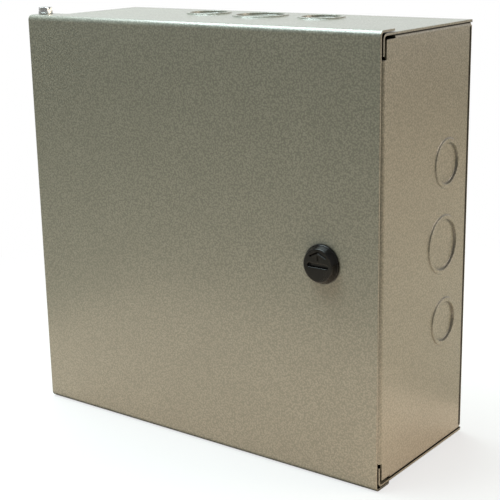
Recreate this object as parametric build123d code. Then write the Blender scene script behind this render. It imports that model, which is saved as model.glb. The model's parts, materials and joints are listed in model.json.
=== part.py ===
from build123d import *
from math import radians, tan
import os

# Wall-mounted enclosure of folded sheet steel with a hinged door, in millimetres.
# The origin is the centre of the wall face at the back. Seen from the front, +X is to the right,
# +Y goes into the wall and +Z is up. The door is shut and its latch is released.

# Box
BOX_WIDTH = 304.8
BOX_DEPTH = 120.0           # wall face to the front of the lips
BOX_SHEET = 1.5
BOX_BEND = 4.0              # outside radius of the folds
LIP_HEIGHT = 14.0           # return lips round the mouth
LIP_END_GAP = 2.3           # side lips stop short of the top and bottom lips
TAB_BEND = 2.4              # outside radius of the weld tabs' folds
TAB_LENGTH = 13.0           # flat part of the tabs welded under the top and bottom walls
TAB_SETBACK = 14.6          # front end of the tabs behind the front of the lips
CORNER_RELIEF = 2.4         # square notch where the back's folds meet

# Door
DOOR_HEIGHT = 304.8         # over the two flanges
DOOR_SHEET = 1.5
DOOR_BEND = 4.0             # outside radius of the flanges' folds
DOOR_GAP = 2.0              # between the lips and the inside of the door
FLANGE_DEPTH = 20.0         # front of the door to the flange's free edge
FLANGE_GAP = 0.6            # between a flange and the box
FLANGE_CORNER = 4.0

# Knockouts
SMALL_DISC = 27.8
SMALL_RING = 34.9
LARGE_DISC = 34.9
LARGE_RING = 41.9
RING_RAISE = 1.1            # ring pushed out of the wall
DISC_SINK = 0.7             # disc pushed into the box
KNOCKOUT_MARGIN = 16.6      # wall face to the nearest point of every ring
SIDE_PITCH = 56.4
TOP_PITCH = 50.8

# Wall holes
WALL_HOLE = 7.1
WALL_HOLE_INSET = 25.4      # from the outline of the enclosure

# Door pivots
PIVOT_INSET = 5.5           # from the left side of the door
PIVOT_SETBACK = 13.0        # from the front of the door
PIVOT_DIAMETER = 5.0        # shoulder of the screw and of the pin
PIVOT_PLAY = 0.08           # radial, in the flanges
PIVOT_END_PLAY = 0.2        # between the upper flange and the washer over it
PIVOT_THREAD = 4.0
PIVOT_SPACER = 9.8
PIVOT_SPACER_THICKNESS = 0.4
PIVOT_WASHER = 10.6
PIVOT_WASHER_THICKNESS = 1.0
PIVOT_COLLAR = 10.4         # round flange under the hexagon
PIVOT_COLLAR_THICKNESS = 1.0
PIVOT_HEX = 9.0             # across flats
PIVOT_HEX_HEIGHT = 2.8
PIVOT_SLOT_WIDTH = 1.2
PIVOT_SLOT_DEPTH = 1.3
PIVOT_NUT_HEX = 7.0
PIVOT_NUT_HEIGHT = 3.2
PIVOT_TAIL = 0.8            # thread showing past the nut
PIN_HEAD = 7.2
PIN_HEAD_HEIGHT = 2.0
PIN_RECESS = 0.3            # the pin stops inside the lower flange

# Latch
LATCH_INSET = 42.5          # from the right side of the door
BEZEL_DIAMETER = 26.6
BEZEL_THICKNESS = 1.6
BEZEL_CHAMFER = 0.5
BARREL_DIAMETER = 19.0
BARREL_FLATS = 17.0
BARREL_CLEARANCE = 0.15     # round the barrel in the door
KNOB_DIAMETER = 25.2
KNOB_FACE = 22.4            # the side of the knob tapers to this
KNOB_HEIGHT = 3.9
KNOB_PLAY = 0.15            # between knob and bezel
SLOT_LENGTH = 16.0
SLOT_WIDTH = 2.6
SLOT_DEPTH = 2.2
STEM_DIAMETER = 12.0
STEM_PLAY = 0.08            # radial, in the barrel
LOCK_WASHER = 25.4
LOCK_WASHER_THICKNESS = 0.7
LATCH_NUT_HEX = 24.0
LATCH_NUT_HEIGHT = 2.6
CAM_SQUARE = 8.0
CAM_SQUARE_CLEARANCE = 0.05
CAM_THICKNESS = 2.0
CAM_GAP = 0.5               # between the cam and the back of the lip
CAM_PLAY = 0.3              # between the cam and the end of the barrel
CAM_HUB = 20.0
CAM_TIP = 13.0              # width of the rounded end
CAM_REACH = 35.0            # latch axis to the far end
CAM_CLAMP = 0.2             # the square stops short of the cam's back
CAM_WASHER = 14.0
CAM_WASHER_THICKNESS = 1.0
CAM_SCREW = 4.0
CAM_SCREW_LENGTH = 6.0      # inside the stem
CAM_SCREW_ROOM = 0.5        # hole left past the screw's end
CAM_SCREW_HEAD = 7.6
CAM_SCREW_HEAD_HEIGHT = 2.4
CAM_SCREW_SLOT_WIDTH = 1.0
CAM_SCREW_SLOT_DEPTH = 1.1

# Mounting panel and its studs
PANEL_MARGIN = 34.4         # from the outline of the enclosure
PANEL_SHEET = 1.9
PANEL_CORNER = 6.0
STUD_INSET = 12.0           # from the edges of the panel
STUD_DIAMETER = 6.0
STUD_CLEARANCE = 0.3        # radial, in the panel and its washers
COLLAR_HEX = 12.0
COLLAR_HEIGHT = 12.0        # carries the panel clear of the back
PANEL_WASHER = 13.0
PANEL_WASHER_THICKNESS = 1.2
PANEL_NUT_HEX = 10.0
PANEL_NUT_HEIGHT = 5.0
STUD_TAIL = 2.0             # thread showing past the nut

# Ground stud
GROUND_INSET = 19.0         # from the left side of the box
GROUND_RISE = 62.0          # from the underside of the box
GROUND_BASE = 9.0
GROUND_BASE_HEIGHT = 1.0
GROUND_DIAMETER = 5.0
GROUND_WASHER = 10.4
GROUND_WASHER_THICKNESS = 1.0
GROUND_TOOTH_DEPTH = 1.3
GROUND_TOOTH_GAP = 1.3
GROUND_TEETH = 10
GROUND_NUT_HEX = 8.0
GROUND_NUT_HEIGHT = 4.0
GROUND_TAIL = 6.0

# Shared by every piece
THREAD_CLEARANCE = 0.05     # radial, round every thread and the riveted pin
OVERRUN = 1.0               # cuts run this far past the faces they open
HEX_CROWN_ANGLE = 30        # degrees, corners of nuts and heads turned off

# Places that several pieces share
box_height = DOOR_HEIGHT - 2 * (DOOR_SHEET + FLANGE_GAP)
side = BOX_WIDTH / 2
box_top = box_height / 2
door_top = DOOR_HEIGHT / 2
lip_front = -BOX_DEPTH
lip_back = lip_front + BOX_SHEET
door_back = lip_front - DOOR_GAP
door_front = door_back - DOOR_SHEET
pivot_x = -side + PIVOT_INSET
pivot_y = door_front + PIVOT_SETBACK
latch_x = side - LATCH_INSET
cam_front = lip_back + CAM_GAP
cam_back = cam_front + CAM_THICKNESS
barrel_end = cam_front - CAM_PLAY
knob_seat = door_front - BEZEL_THICKNESS - KNOB_PLAY
panel_width = BOX_WIDTH - 2 * PANEL_MARGIN
panel_height = DOOR_HEIGHT - 2 * PANEL_MARGIN
panel_back = -BOX_SHEET - COLLAR_HEIGHT
panel_front = panel_back - PANEL_SHEET


# Shapes used by several pieces

def facing_front(x, y, z):
    """Plane whose own z axis points out of the front of the enclosure and whose y axis points up."""
    return Plane(origin=(x, y, z), x_dir=(1, 0, 0), z_dir=(0, -1, 0))


def block(low, high):
    """Cutter between two corners."""
    size = [b - a for a, b in zip(low, high)]
    middle = [(a + b) / 2 for a, b in zip(low, high)]
    return Pos(*middle) * Box(*size)


def turned(*steps):
    """Round piece of (diameter, length) steps, growing along +z from its own origin."""
    pieces = []
    reach = 0
    for diameter, length in steps:
        pieces.append(Pos(0, 0, reach) * extrude(Circle(diameter / 2), length))
        reach += length
    return pieces[0] + pieces[1:]


def washer(outside, inside, thickness):
    """Flat ring lying on its own origin."""
    return extrude(Circle(outside / 2) - Circle(inside / 2), thickness)


def hexagon(across_flats, height):
    """Hexagon standing on its own origin, with two flats facing along x."""
    return extrude(RegularPolygon(across_flats / 2, 6, major_radius=False, rotation=30), height)


def crowned(across_flats, height):
    """Hexagon whose upper corners are turned off, as on a screw head."""
    spread = height / tan(radians(HEX_CROWN_ANGLE))
    crown = Cone(across_flats / 2 + spread, across_flats / 2, height)
    return hexagon(across_flats, height) & Pos(0, 0, height / 2) * crown


def nut(across_flats, thread, height):
    """Hexagon nut standing on its own origin."""
    return hexagon(across_flats, height) - extrude(Circle(thread / 2 + THREAD_CLEARANCE), height)


def double_d(diameter, flats):
    """Circle with two flats, as latch barrels and their holes have."""
    return Circle(diameter / 2) & Rectangle(diameter, flats)


# Folded box

def channel_section(span, depth, sheet, bend, lip):
    """Sheet folded round a rectangle of span by depth, open in front between two lips."""
    centre = Pos(0, -depth / 2)
    outside = centre * RectangleRounded(span, depth, bend)
    inside = centre * RectangleRounded(span - 2 * sheet, depth - 2 * sheet, bend - sheet)
    mouth = Pos(0, -depth) * Rectangle(span - 2 * lip, 2 * bend)
    return outside - inside - mouth


def top_back_and_bottom(wall_top):
    """Back, top and bottom walls and their lips, which run over the full width."""
    upright = Plane(origin=(0, 0, 0), x_dir=(0, 0, 1), z_dir=(-1, 0, 0))
    section = channel_section(box_height, BOX_DEPTH, BOX_SHEET, BOX_BEND, LIP_HEIGHT)
    wrap = extrude(upright * section, side, both=True)
    beside_fold = block((side - BOX_BEND, -BOX_BEND, -wall_top), (side + OVERRUN, OVERRUN, wall_top))
    notch = block((side - CORNER_RELIEF, -CORNER_RELIEF, -box_top - OVERRUN),
                  (side + OVERRUN, OVERRUN, box_top + OVERRUN))
    cuts = [beside_fold, notch]
    return wrap - cuts - [mirror(cut, Plane.YZ) for cut in cuts]


def side_walls(wall_top):
    """Back and side walls, with side lips that stop short of the top and bottom lips."""
    section = channel_section(BOX_WIDTH, BOX_DEPTH, BOX_SHEET, BOX_BEND, LIP_HEIGHT)
    walls = extrude(section, wall_top, both=True)
    lip_end = box_top - LIP_HEIGHT - LIP_END_GAP
    relief = block((-side - OVERRUN, lip_front - OVERRUN, lip_end),
                   (side + OVERRUN, lip_front + BOX_BEND, box_top))
    return walls - [relief, mirror(relief, Plane.XY)]


def weld_tabs(wall_top):
    """Edges of the side walls folded in under the top wall and over the bottom wall."""
    tab_span = box_height - 2 * BOX_SHEET
    section = RectangleRounded(BOX_WIDTH, tab_span, TAB_BEND)
    inside = (BOX_WIDTH - 2 * BOX_SHEET, tab_span - 2 * BOX_SHEET)
    section -= RectangleRounded(*inside, TAB_BEND - BOX_SHEET)
    section -= Rectangle(BOX_WIDTH - 2 * (TAB_LENGTH + TAB_BEND), box_height)
    section -= Rectangle(BOX_WIDTH + 2 * OVERRUN, 2 * wall_top)
    tab_run = BOX_DEPTH - TAB_SETBACK - BOX_BEND
    return extrude(facing_front(0, -BOX_BEND, 0) * section, tab_run)


def knockout(disc_diameter, ring_diameter):
    """Raised ring and sunk disc in a wall whose outer face is z = 0: metal added and removed."""
    disc = Circle(disc_diameter / 2)
    raised = extrude(Circle(ring_diameter / 2) - disc, RING_RAISE)
    recess = Pos(0, 0, -DISC_SINK) * extrude(disc, DISC_SINK + RING_RAISE)
    return raised, recess


def knockout_rows():
    """Outer plane of each of the four walls, with the pitch of the row of knockouts on it."""
    rows = []
    for sign in (-1, 1):
        rows.append((Plane((sign * side, 0, 0), x_dir=(0, 1, 0), z_dir=(sign, 0, 0)), SIDE_PITCH))
        rows.append((Plane((0, 0, sign * box_top), x_dir=(0, 1, 0), z_dir=(0, 0, sign)), TOP_PITCH))
    return rows


def enclosure_body():
    """Folded box with its knockouts, wall holes and pivot holes."""
    wall_top = box_top - BOX_SHEET - TAB_BEND
    body = top_back_and_bottom(wall_top) + side_walls(wall_top) + weld_tabs(wall_top)

    small = (SMALL_DISC, SMALL_RING)
    large = (LARGE_DISC, LARGE_RING)
    added = []
    removed = []
    for wall, pitch in knockout_rows():
        for place, (disc, ring) in ((-pitch, small), (0, large), (pitch, small)):
            spot = wall * Pos(-KNOCKOUT_MARGIN - ring / 2, place, 0)
            raised, recess = knockout(disc, ring)
            added.append(spot * raised)
            removed.append(spot * recess)
    body = body + added - removed

    wall_hole = extrude(Circle(WALL_HOLE / 2), BOX_SHEET)
    pitch_x = BOX_WIDTH - 2 * WALL_HOLE_INSET
    pitch_z = DOOR_HEIGHT - 2 * WALL_HOLE_INSET
    places = GridLocations(pitch_x, pitch_z, 2, 2)
    holes = [facing_front(0, 0, 0) * place * wall_hole for place in places]
    screw_hole = extrude(Circle(PIVOT_THREAD / 2 + THREAD_CLEARANCE), BOX_SHEET)
    pin_hole = extrude(Circle(PIVOT_DIAMETER / 2 + THREAD_CLEARANCE), BOX_SHEET)
    holes.append(Pos(pivot_x, pivot_y, box_top - BOX_SHEET) * screw_hole)
    holes.append(Pos(pivot_x, pivot_y, -box_top) * pin_hole)
    return body - holes


# Door

def door_panel():
    """Flat front with a flange folded back along its top and bottom, and holes for pivots and latch."""
    upright = Plane(origin=(0, door_front, 0), x_dir=(0, 0, 1), z_dir=(-1, 0, 0))
    centre = Pos(0, FLANGE_DEPTH)
    inside = (DOOR_HEIGHT - 2 * DOOR_SHEET, 2 * (FLANGE_DEPTH - DOOR_SHEET))
    section = centre * RectangleRounded(DOOR_HEIGHT, 2 * FLANGE_DEPTH, DOOR_BEND)
    section -= centre * RectangleRounded(*inside, DOOR_BEND - DOOR_SHEET)
    section -= Pos(0, 2 * FLANGE_DEPTH) * Rectangle(DOOR_HEIGHT, 2 * FLANGE_DEPTH)
    door = extrude(upright * section, side, both=True)
    door = fillet(door.edges().filter_by(Axis.Z).group_by(Axis.Y)[-1], FLANGE_CORNER)

    pivot_hole = Pos(pivot_x, pivot_y) * Circle(PIVOT_DIAMETER / 2 + PIVOT_PLAY)
    latch_hole = double_d(BARREL_DIAMETER + 2 * BARREL_CLEARANCE, BARREL_FLATS + 2 * BARREL_CLEARANCE)
    latch_hole = extrude(facing_front(latch_x, door_back, 0) * latch_hole, DOOR_SHEET)
    return door - extrude(pivot_hole, door_top, both=True) - latch_hole


# Pivots

def upper_pivot():
    """Shoulder screw that goes down through washer, door flange, spacer and box into a nut."""
    shoulder = FLANGE_GAP + DOOR_SHEET + PIVOT_END_PLAY + PIVOT_WASHER_THICKNESS
    thread = BOX_SHEET + PIVOT_NUT_HEIGHT + PIVOT_TAIL
    bore = PIVOT_DIAMETER + 2 * PIVOT_PLAY
    foot = Pos(pivot_x, pivot_y, box_top)
    slot = Box(PIVOT_COLLAR, PIVOT_SLOT_WIDTH, 2 * PIVOT_SLOT_DEPTH)
    head = crowned(PIVOT_HEX, PIVOT_HEX_HEIGHT) - Pos(0, 0, PIVOT_HEX_HEIGHT) * slot
    collar = (PIVOT_COLLAR, PIVOT_COLLAR_THICKNESS)
    screw = Pos(0, 0, -thread) * turned((PIVOT_THREAD, thread), (PIVOT_DIAMETER, shoulder), collar)
    screw += Pos(0, 0, shoulder + PIVOT_COLLAR_THICKNESS) * head
    ring = washer(PIVOT_WASHER, bore, PIVOT_WASHER_THICKNESS)
    inner_nut = nut(PIVOT_NUT_HEX, PIVOT_THREAD, PIVOT_NUT_HEIGHT)
    return {
        "upper_pivot_screw": foot * screw,
        "upper_pivot_washer": foot * Pos(0, 0, shoulder - PIVOT_WASHER_THICKNESS) * ring,
        "upper_pivot_spacer": foot * washer(PIVOT_SPACER, bore, PIVOT_SPACER_THICKNESS),
        "upper_pivot_nut": foot * Pos(0, 0, -BOX_SHEET - PIVOT_NUT_HEIGHT) * inner_nut,
    }


def lower_pivot():
    """Headed pin set in the box, and the spacer that lies on the door's lower flange."""
    shank = BOX_SHEET + FLANGE_GAP + DOOR_SHEET - PIN_RECESS
    pin = turned((PIVOT_DIAMETER, shank), (PIN_HEAD, PIN_HEAD_HEIGHT))
    spacer = washer(PIVOT_SPACER, PIVOT_DIAMETER + 2 * PIVOT_PLAY, PIVOT_SPACER_THICKNESS)
    return {
        "lower_pivot_pin": Pos(pivot_x, pivot_y, -door_top + PIN_RECESS) * pin,
        "lower_pivot_spacer": Pos(pivot_x, pivot_y, -door_top + DOOR_SHEET) * spacer,
    }


# Latch

def latch_bezel():
    """Round housing on the front of the door, with its barrel through the door."""
    rim = extrude(Circle(BEZEL_DIAMETER / 2), BEZEL_THICKNESS)
    rim = chamfer(rim.edges().group_by(Axis.Z)[-1], BEZEL_CHAMFER)
    barrel_length = barrel_end - door_front
    barrel = extrude(double_d(BARREL_DIAMETER, BARREL_FLATS), -barrel_length)
    bore = extrude(Circle(STEM_DIAMETER / 2 + STEM_PLAY), barrel_length + BEZEL_THICKNESS)
    return facing_front(latch_x, door_front, 0) * (rim + barrel - Pos(0, 0, -barrel_length) * bore)


def latch_knob():
    """Slotted rotor with a round stem and the square that drives the cam."""
    stem_length = cam_front - knob_seat
    square_length = CAM_THICKNESS - CAM_CLAMP
    head = Pos(0, 0, KNOB_HEIGHT / 2) * Cone(KNOB_DIAMETER / 2, KNOB_FACE / 2, KNOB_HEIGHT)
    slot = extrude(SlotOverall(SLOT_LENGTH, SLOT_WIDTH), SLOT_DEPTH)
    head -= Pos(0, 0, KNOB_HEIGHT - SLOT_DEPTH) * slot
    stem = extrude(Circle(STEM_DIAMETER / 2), -stem_length)
    square_end = Pos(0, 0, -stem_length - square_length)
    square = square_end * extrude(Rectangle(CAM_SQUARE, CAM_SQUARE), square_length)
    hole_depth = CAM_SCREW_LENGTH + CAM_SCREW_ROOM
    hole = square_end * extrude(Circle(CAM_SCREW / 2 + THREAD_CLEARANCE), hole_depth)
    return facing_front(latch_x, knob_seat, 0) * (head + stem + square - hole)


def latch_cam():
    """Flat cam, pointing up while the latch is released."""
    hub = Circle(CAM_HUB / 2)
    tip = Pos(0, CAM_REACH - CAM_TIP / 2) * Circle(CAM_TIP / 2)
    square = CAM_SQUARE + 2 * CAM_SQUARE_CLEARANCE
    outline = make_hull([*hub.edges(), *tip.edges()]) - Rectangle(square, square)
    return facing_front(latch_x, cam_back, 0) * extrude(outline, CAM_THICKNESS)


def latch_fixings():
    """Washer and nut that hold the bezel, and washer and screw that hold the cam."""
    washer_back = cam_back + CAM_WASHER_THICKNESS
    nut_seat = door_back + LOCK_WASHER_THICKNESS
    lock_washer = washer(LOCK_WASHER, BARREL_DIAMETER + 2 * BARREL_CLEARANCE, LOCK_WASHER_THICKNESS)
    bezel_nut = nut(LATCH_NUT_HEX, BARREL_DIAMETER, LATCH_NUT_HEIGHT)
    cam_washer = washer(CAM_WASHER, CAM_SCREW + 2 * CAM_SQUARE_CLEARANCE, CAM_WASHER_THICKNESS)
    shank = CAM_WASHER_THICKNESS + CAM_CLAMP + CAM_SCREW_LENGTH
    screw = turned((CAM_SCREW_HEAD, CAM_SCREW_HEAD_HEIGHT), (CAM_SCREW, shank))
    slot = Box(CAM_SCREW_HEAD, CAM_SCREW_SLOT_WIDTH, 2 * CAM_SCREW_SLOT_DEPTH)
    return {
        "latch_lock_washer": facing_front(latch_x, nut_seat, 0) * lock_washer,
        "latch_nut": facing_front(latch_x, nut_seat + LATCH_NUT_HEIGHT, 0) * bezel_nut,
        "latch_cam_washer": facing_front(latch_x, washer_back, 0) * cam_washer,
        "latch_cam_screw": facing_front(latch_x, washer_back + CAM_SCREW_HEAD_HEIGHT, 0) * (screw - slot),
    }


# Inside

def panel_set():
    """Mounting panel on four collar studs, each with a washer and a nut."""
    places = GridLocations(panel_width - 2 * STUD_INSET, panel_height - 2 * STUD_INSET, 2, 2).locations
    stud_hole = STUD_DIAMETER + 2 * STUD_CLEARANCE
    shank = PANEL_SHEET + PANEL_WASHER_THICKNESS + PANEL_NUT_HEIGHT + STUD_TAIL
    stud = hexagon(COLLAR_HEX, COLLAR_HEIGHT) + turned((STUD_DIAMETER, COLLAR_HEIGHT + shank))
    ring = washer(PANEL_WASHER, stud_hole, PANEL_WASHER_THICKNESS)
    stud_nut = nut(PANEL_NUT_HEX, STUD_DIAMETER, PANEL_NUT_HEIGHT)
    sheet = RectangleRounded(panel_width, panel_height, PANEL_CORNER)
    sheet -= [place * Circle(stud_hole / 2) for place in places]

    def four(piece, y):
        return Compound(children=[facing_front(0, y, 0) * place * piece for place in places])

    return {
        "mounting_panel": facing_front(0, panel_back, 0) * extrude(sheet, PANEL_SHEET),
        "panel_studs": four(stud, -BOX_SHEET),
        "panel_washers": four(ring, panel_front),
        "panel_nuts": four(stud_nut, panel_front - PANEL_WASHER_THICKNESS),
    }


def ground_set():
    """Welded stud with a toothed washer and a nut."""
    shank = GROUND_WASHER_THICKNESS + GROUND_NUT_HEIGHT + GROUND_TAIL
    stud = turned((GROUND_BASE, GROUND_BASE_HEIGHT), (GROUND_DIAMETER, shank))
    ring = Circle(GROUND_WASHER / 2) - Circle(GROUND_DIAMETER / 2 + THREAD_CLEARANCE)
    notch = Rectangle(2 * GROUND_TOOTH_DEPTH, GROUND_TOOTH_GAP)
    ring -= [place * notch for place in PolarLocations(GROUND_WASHER / 2, GROUND_TEETH)]
    stud_nut = nut(GROUND_NUT_HEX, GROUND_DIAMETER, GROUND_NUT_HEIGHT)
    foot = facing_front(-side + GROUND_INSET, -BOX_SHEET, -box_top + GROUND_RISE)
    return {
        "ground_stud": foot * stud,
        "ground_washer": foot * Pos(0, 0, GROUND_BASE_HEIGHT) * extrude(ring, GROUND_WASHER_THICKNESS),
        "ground_nut": foot * Pos(0, 0, GROUND_BASE_HEIGHT + GROUND_WASHER_THICKNESS) * stud_nut,
    }


pieces = {
    "enclosure_body": enclosure_body(),
    "door_panel": door_panel(),
    "latch_bezel": latch_bezel(),
    "latch_knob": latch_knob(),
    "latch_cam": latch_cam(),
    **upper_pivot(),
    **lower_pivot(),
    **latch_fixings(),
    **panel_set(),
    **ground_set(),
}

os.makedirs("parts", exist_ok=True)
for name, piece in pieces.items():
    export_step(piece, os.path.join("parts", name + ".step"))
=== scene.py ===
import json
from math import cos, pi, radians, sin, tan, tau

import bmesh
import bpy
from bpy.props import FloatProperty, FloatVectorProperty, PointerProperty
from bpy.types import NodeSocket, Operator, Panel, PropertyGroup
from mathutils import Matrix, Vector

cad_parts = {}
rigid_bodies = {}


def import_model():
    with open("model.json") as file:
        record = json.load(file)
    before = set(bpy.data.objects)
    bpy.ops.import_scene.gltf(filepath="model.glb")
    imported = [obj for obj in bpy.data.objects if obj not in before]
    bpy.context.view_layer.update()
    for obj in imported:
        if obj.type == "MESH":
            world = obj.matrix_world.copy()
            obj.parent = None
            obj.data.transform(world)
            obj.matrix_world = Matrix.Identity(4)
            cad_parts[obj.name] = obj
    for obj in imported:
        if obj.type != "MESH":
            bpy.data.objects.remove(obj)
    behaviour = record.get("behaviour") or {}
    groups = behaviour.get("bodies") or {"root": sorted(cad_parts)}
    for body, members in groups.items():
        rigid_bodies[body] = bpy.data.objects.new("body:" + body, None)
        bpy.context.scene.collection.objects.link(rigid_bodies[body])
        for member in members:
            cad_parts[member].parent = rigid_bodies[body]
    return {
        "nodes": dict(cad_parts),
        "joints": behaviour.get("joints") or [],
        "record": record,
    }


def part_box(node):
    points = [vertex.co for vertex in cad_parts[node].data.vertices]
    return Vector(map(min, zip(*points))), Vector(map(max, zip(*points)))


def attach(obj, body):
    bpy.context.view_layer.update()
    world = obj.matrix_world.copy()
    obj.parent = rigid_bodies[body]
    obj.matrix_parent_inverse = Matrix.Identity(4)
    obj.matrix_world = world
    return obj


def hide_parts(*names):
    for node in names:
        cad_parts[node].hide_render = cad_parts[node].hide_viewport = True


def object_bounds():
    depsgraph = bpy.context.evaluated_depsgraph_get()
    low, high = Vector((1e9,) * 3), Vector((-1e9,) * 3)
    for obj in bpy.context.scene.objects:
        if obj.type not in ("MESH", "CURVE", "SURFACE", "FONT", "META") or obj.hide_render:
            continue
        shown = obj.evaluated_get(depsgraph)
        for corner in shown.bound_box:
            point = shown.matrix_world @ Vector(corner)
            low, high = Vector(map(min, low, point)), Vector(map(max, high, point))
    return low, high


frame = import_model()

bl_info = {
    "name": "Sheet steel enclosure",
    "version": (1, 0, 0),
    "blender": (4, 5, 0),
    "location": "3D View > Sidebar > Enclosure",
    "description": "Finishes a wall-mounted steel enclosure with a hinged door around its fixed frame",
    "category": "Object",
}

# Everything is in metres, in the frame of the packed model: +X right, +Y into the wall, +Z up
MM = 0.001
FRONTWARDS = Vector((0, -1, 0))
INWARDS = Vector((0, 1, 0))
UPWARDS = Vector((0, 0, 1))

cad_low, cad_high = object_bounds()
joints = {joint["name"]: joint for joint in frame["joints"]}
latch_centre = Vector(joints["latch_turn"]["pos_m"])
mounts = {mount["name"]: mount for mount in frame["record"]["mounts"]}
SIDE_WALL = mounts["right_knockouts"]["pos_m"][0]
TOP_WALL = mounts["top_knockouts"]["pos_m"][2]
knob_low, knob_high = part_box("latch_knob")
KNOB_FRONT = knob_low.y
KNOB_REACH = (knob_high - knob_low).x / 2

# Limits for the meshes
JOIN_DISTANCE = 0.03 * MM       # corners closer than this are one
FLAT_ANGLE = radians(0.5)       # faces that meet flatter than this are one
ROUNDED_ANGLE = radians(35)     # edges sharper than this are rounded
CRISP_ANGLE = radians(32)       # edges of turned pieces sharper than this stay crisp
HEX_CROWN = tan(radians(30))    # slope of the turned-off corners of a hexagon
THREAD_STEPS = 10               # rings in one turn of a thread


# Settings that a user would change

class PaintSettings(PropertyGroup):
    """Hammered enamel on the box and the door."""
    colour: FloatVectorProperty(
        name="Colour", description="Enamel on the raised cells", subtype="COLOR",
        min=0, max=1, default=(0.278, 0.271, 0.218))
    hollow_colour: FloatVectorProperty(
        name="Hollow colour", description="Enamel between the cells", subtype="COLOR",
        min=0, max=1, default=(0.176, 0.172, 0.137))
    cell: FloatProperty(
        name="Cell size", description="Width of one hammered cell", unit="LENGTH", default=1.15 * MM)
    relief: FloatProperty(
        name="Relief", description="Height of the cells", unit="LENGTH", default=0.12 * MM)
    edge: FloatProperty(
        name="Edge radius", description="Rounding of the enamel on cut edges", unit="LENGTH",
        default=0.3 * MM)
    # Painted shade in seams, gaps and concave corners: how far ambient occlusion looks, and the near-black
    # colour it darkens the enamel to
    painted_shade_reach: FloatProperty(
        name="Painted shade reach", description="Reach of the painted shade in seams and corners", unit="LENGTH",
        default=3.0 * MM)
    painted_shade_colour: FloatVectorProperty(
        name="Painted shade colour", description="Near-black painted shade in seams and corners", subtype="COLOR",
        min=0, max=1, default=(0.022, 0.02, 0.016))


class MetalSettings(PropertyGroup):
    """Plated fasteners and the galvanised panel."""
    zinc: FloatVectorProperty(
        name="Zinc", description="Bright zinc plate", subtype="COLOR", min=0, max=1,
        default=(0.66, 0.67, 0.68))
    galvanised: FloatVectorProperty(
        name="Galvanised", description="Hot-dipped sheet", subtype="COLOR", min=0, max=1,
        default=(0.52, 0.54, 0.56))
    copper: FloatVectorProperty(
        name="Copper", description="Copper plate of the ground stud", subtype="COLOR", min=0, max=1,
        default=(0.72, 0.39, 0.25))
    spangle: FloatProperty(
        name="Spangle", description="Width of a zinc crystal", unit="LENGTH", default=11 * MM)
    edge: FloatProperty(
        name="Edge radius", description="Rounding of edges on fasteners", unit="LENGTH",
        default=0.15 * MM)
    panel_thread: FloatProperty(
        name="Panel thread", description="Diameter of the panel studs", unit="LENGTH", default=6.0 * MM)
    ground_thread: FloatProperty(
        name="Ground thread", description="Diameter of the ground stud", unit="LENGTH", default=5.0 * MM)
    pivot_thread: FloatProperty(
        name="Pivot thread", description="Diameter of the pivot screw's thread", unit="LENGTH",
        default=4.0 * MM)
    latch_thread: FloatProperty(
        name="Latch thread", description="Diameter of the latch barrel", unit="LENGTH", default=19.0 * MM)
    nut_flats: FloatProperty(
        name="Panel nut", description="Across the flats of the panel nuts", unit="LENGTH",
        default=10.0 * MM)
    collar_flats: FloatProperty(
        name="Stud collar", description="Across the flats of the panel studs", unit="LENGTH",
        default=12.0 * MM)
    ground_base: FloatProperty(
        name="Ground base", description="Thickness of the ground stud's weld base", unit="LENGTH",
        default=1.0 * MM)
    pitch_share: FloatProperty(
        name="Thread pitch", description="Pitch as a share of a stud's diameter", subtype="FACTOR",
        min=0, max=1, default=0.165)
    depth_share: FloatProperty(
        name="Thread depth", description="Depth as a share of the pitch", subtype="FACTOR",
        min=0, max=1, default=0.6)


class PlasticSettings(PropertyGroup):
    """Moulded latch and pivot spacers."""
    black: FloatVectorProperty(
        name="Black", description="Moulded latch", subtype="COLOR", min=0, max=1,
        default=(0.004, 0.0034, 0.003))
    natural: FloatVectorProperty(
        name="Natural", description="Uncoloured spacers", subtype="COLOR", min=0, max=1,
        default=(0.72, 0.7, 0.62))
    grain: FloatProperty(
        name="Grain", description="Width of the mould's spark grain", unit="LENGTH", default=0.5 * MM)
    edge: FloatProperty(
        name="Edge radius", description="Rounding of moulded edges", unit="LENGTH", default=0.25 * MM)
    mark_width: FloatProperty(
        name="Mark width", description="Width of the pointer's lines on the latch", unit="LENGTH",
        default=1.4 * MM)
    mark_depth: FloatProperty(
        name="Mark depth", description="Depth of the pointer moulded into the latch", unit="LENGTH",
        default=0.8 * MM)
    knob_edge: FloatProperty(
        name="Knob edge", description="Rounding of the edges of the latch's knob", unit="LENGTH",
        default=0.6 * MM)


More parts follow.
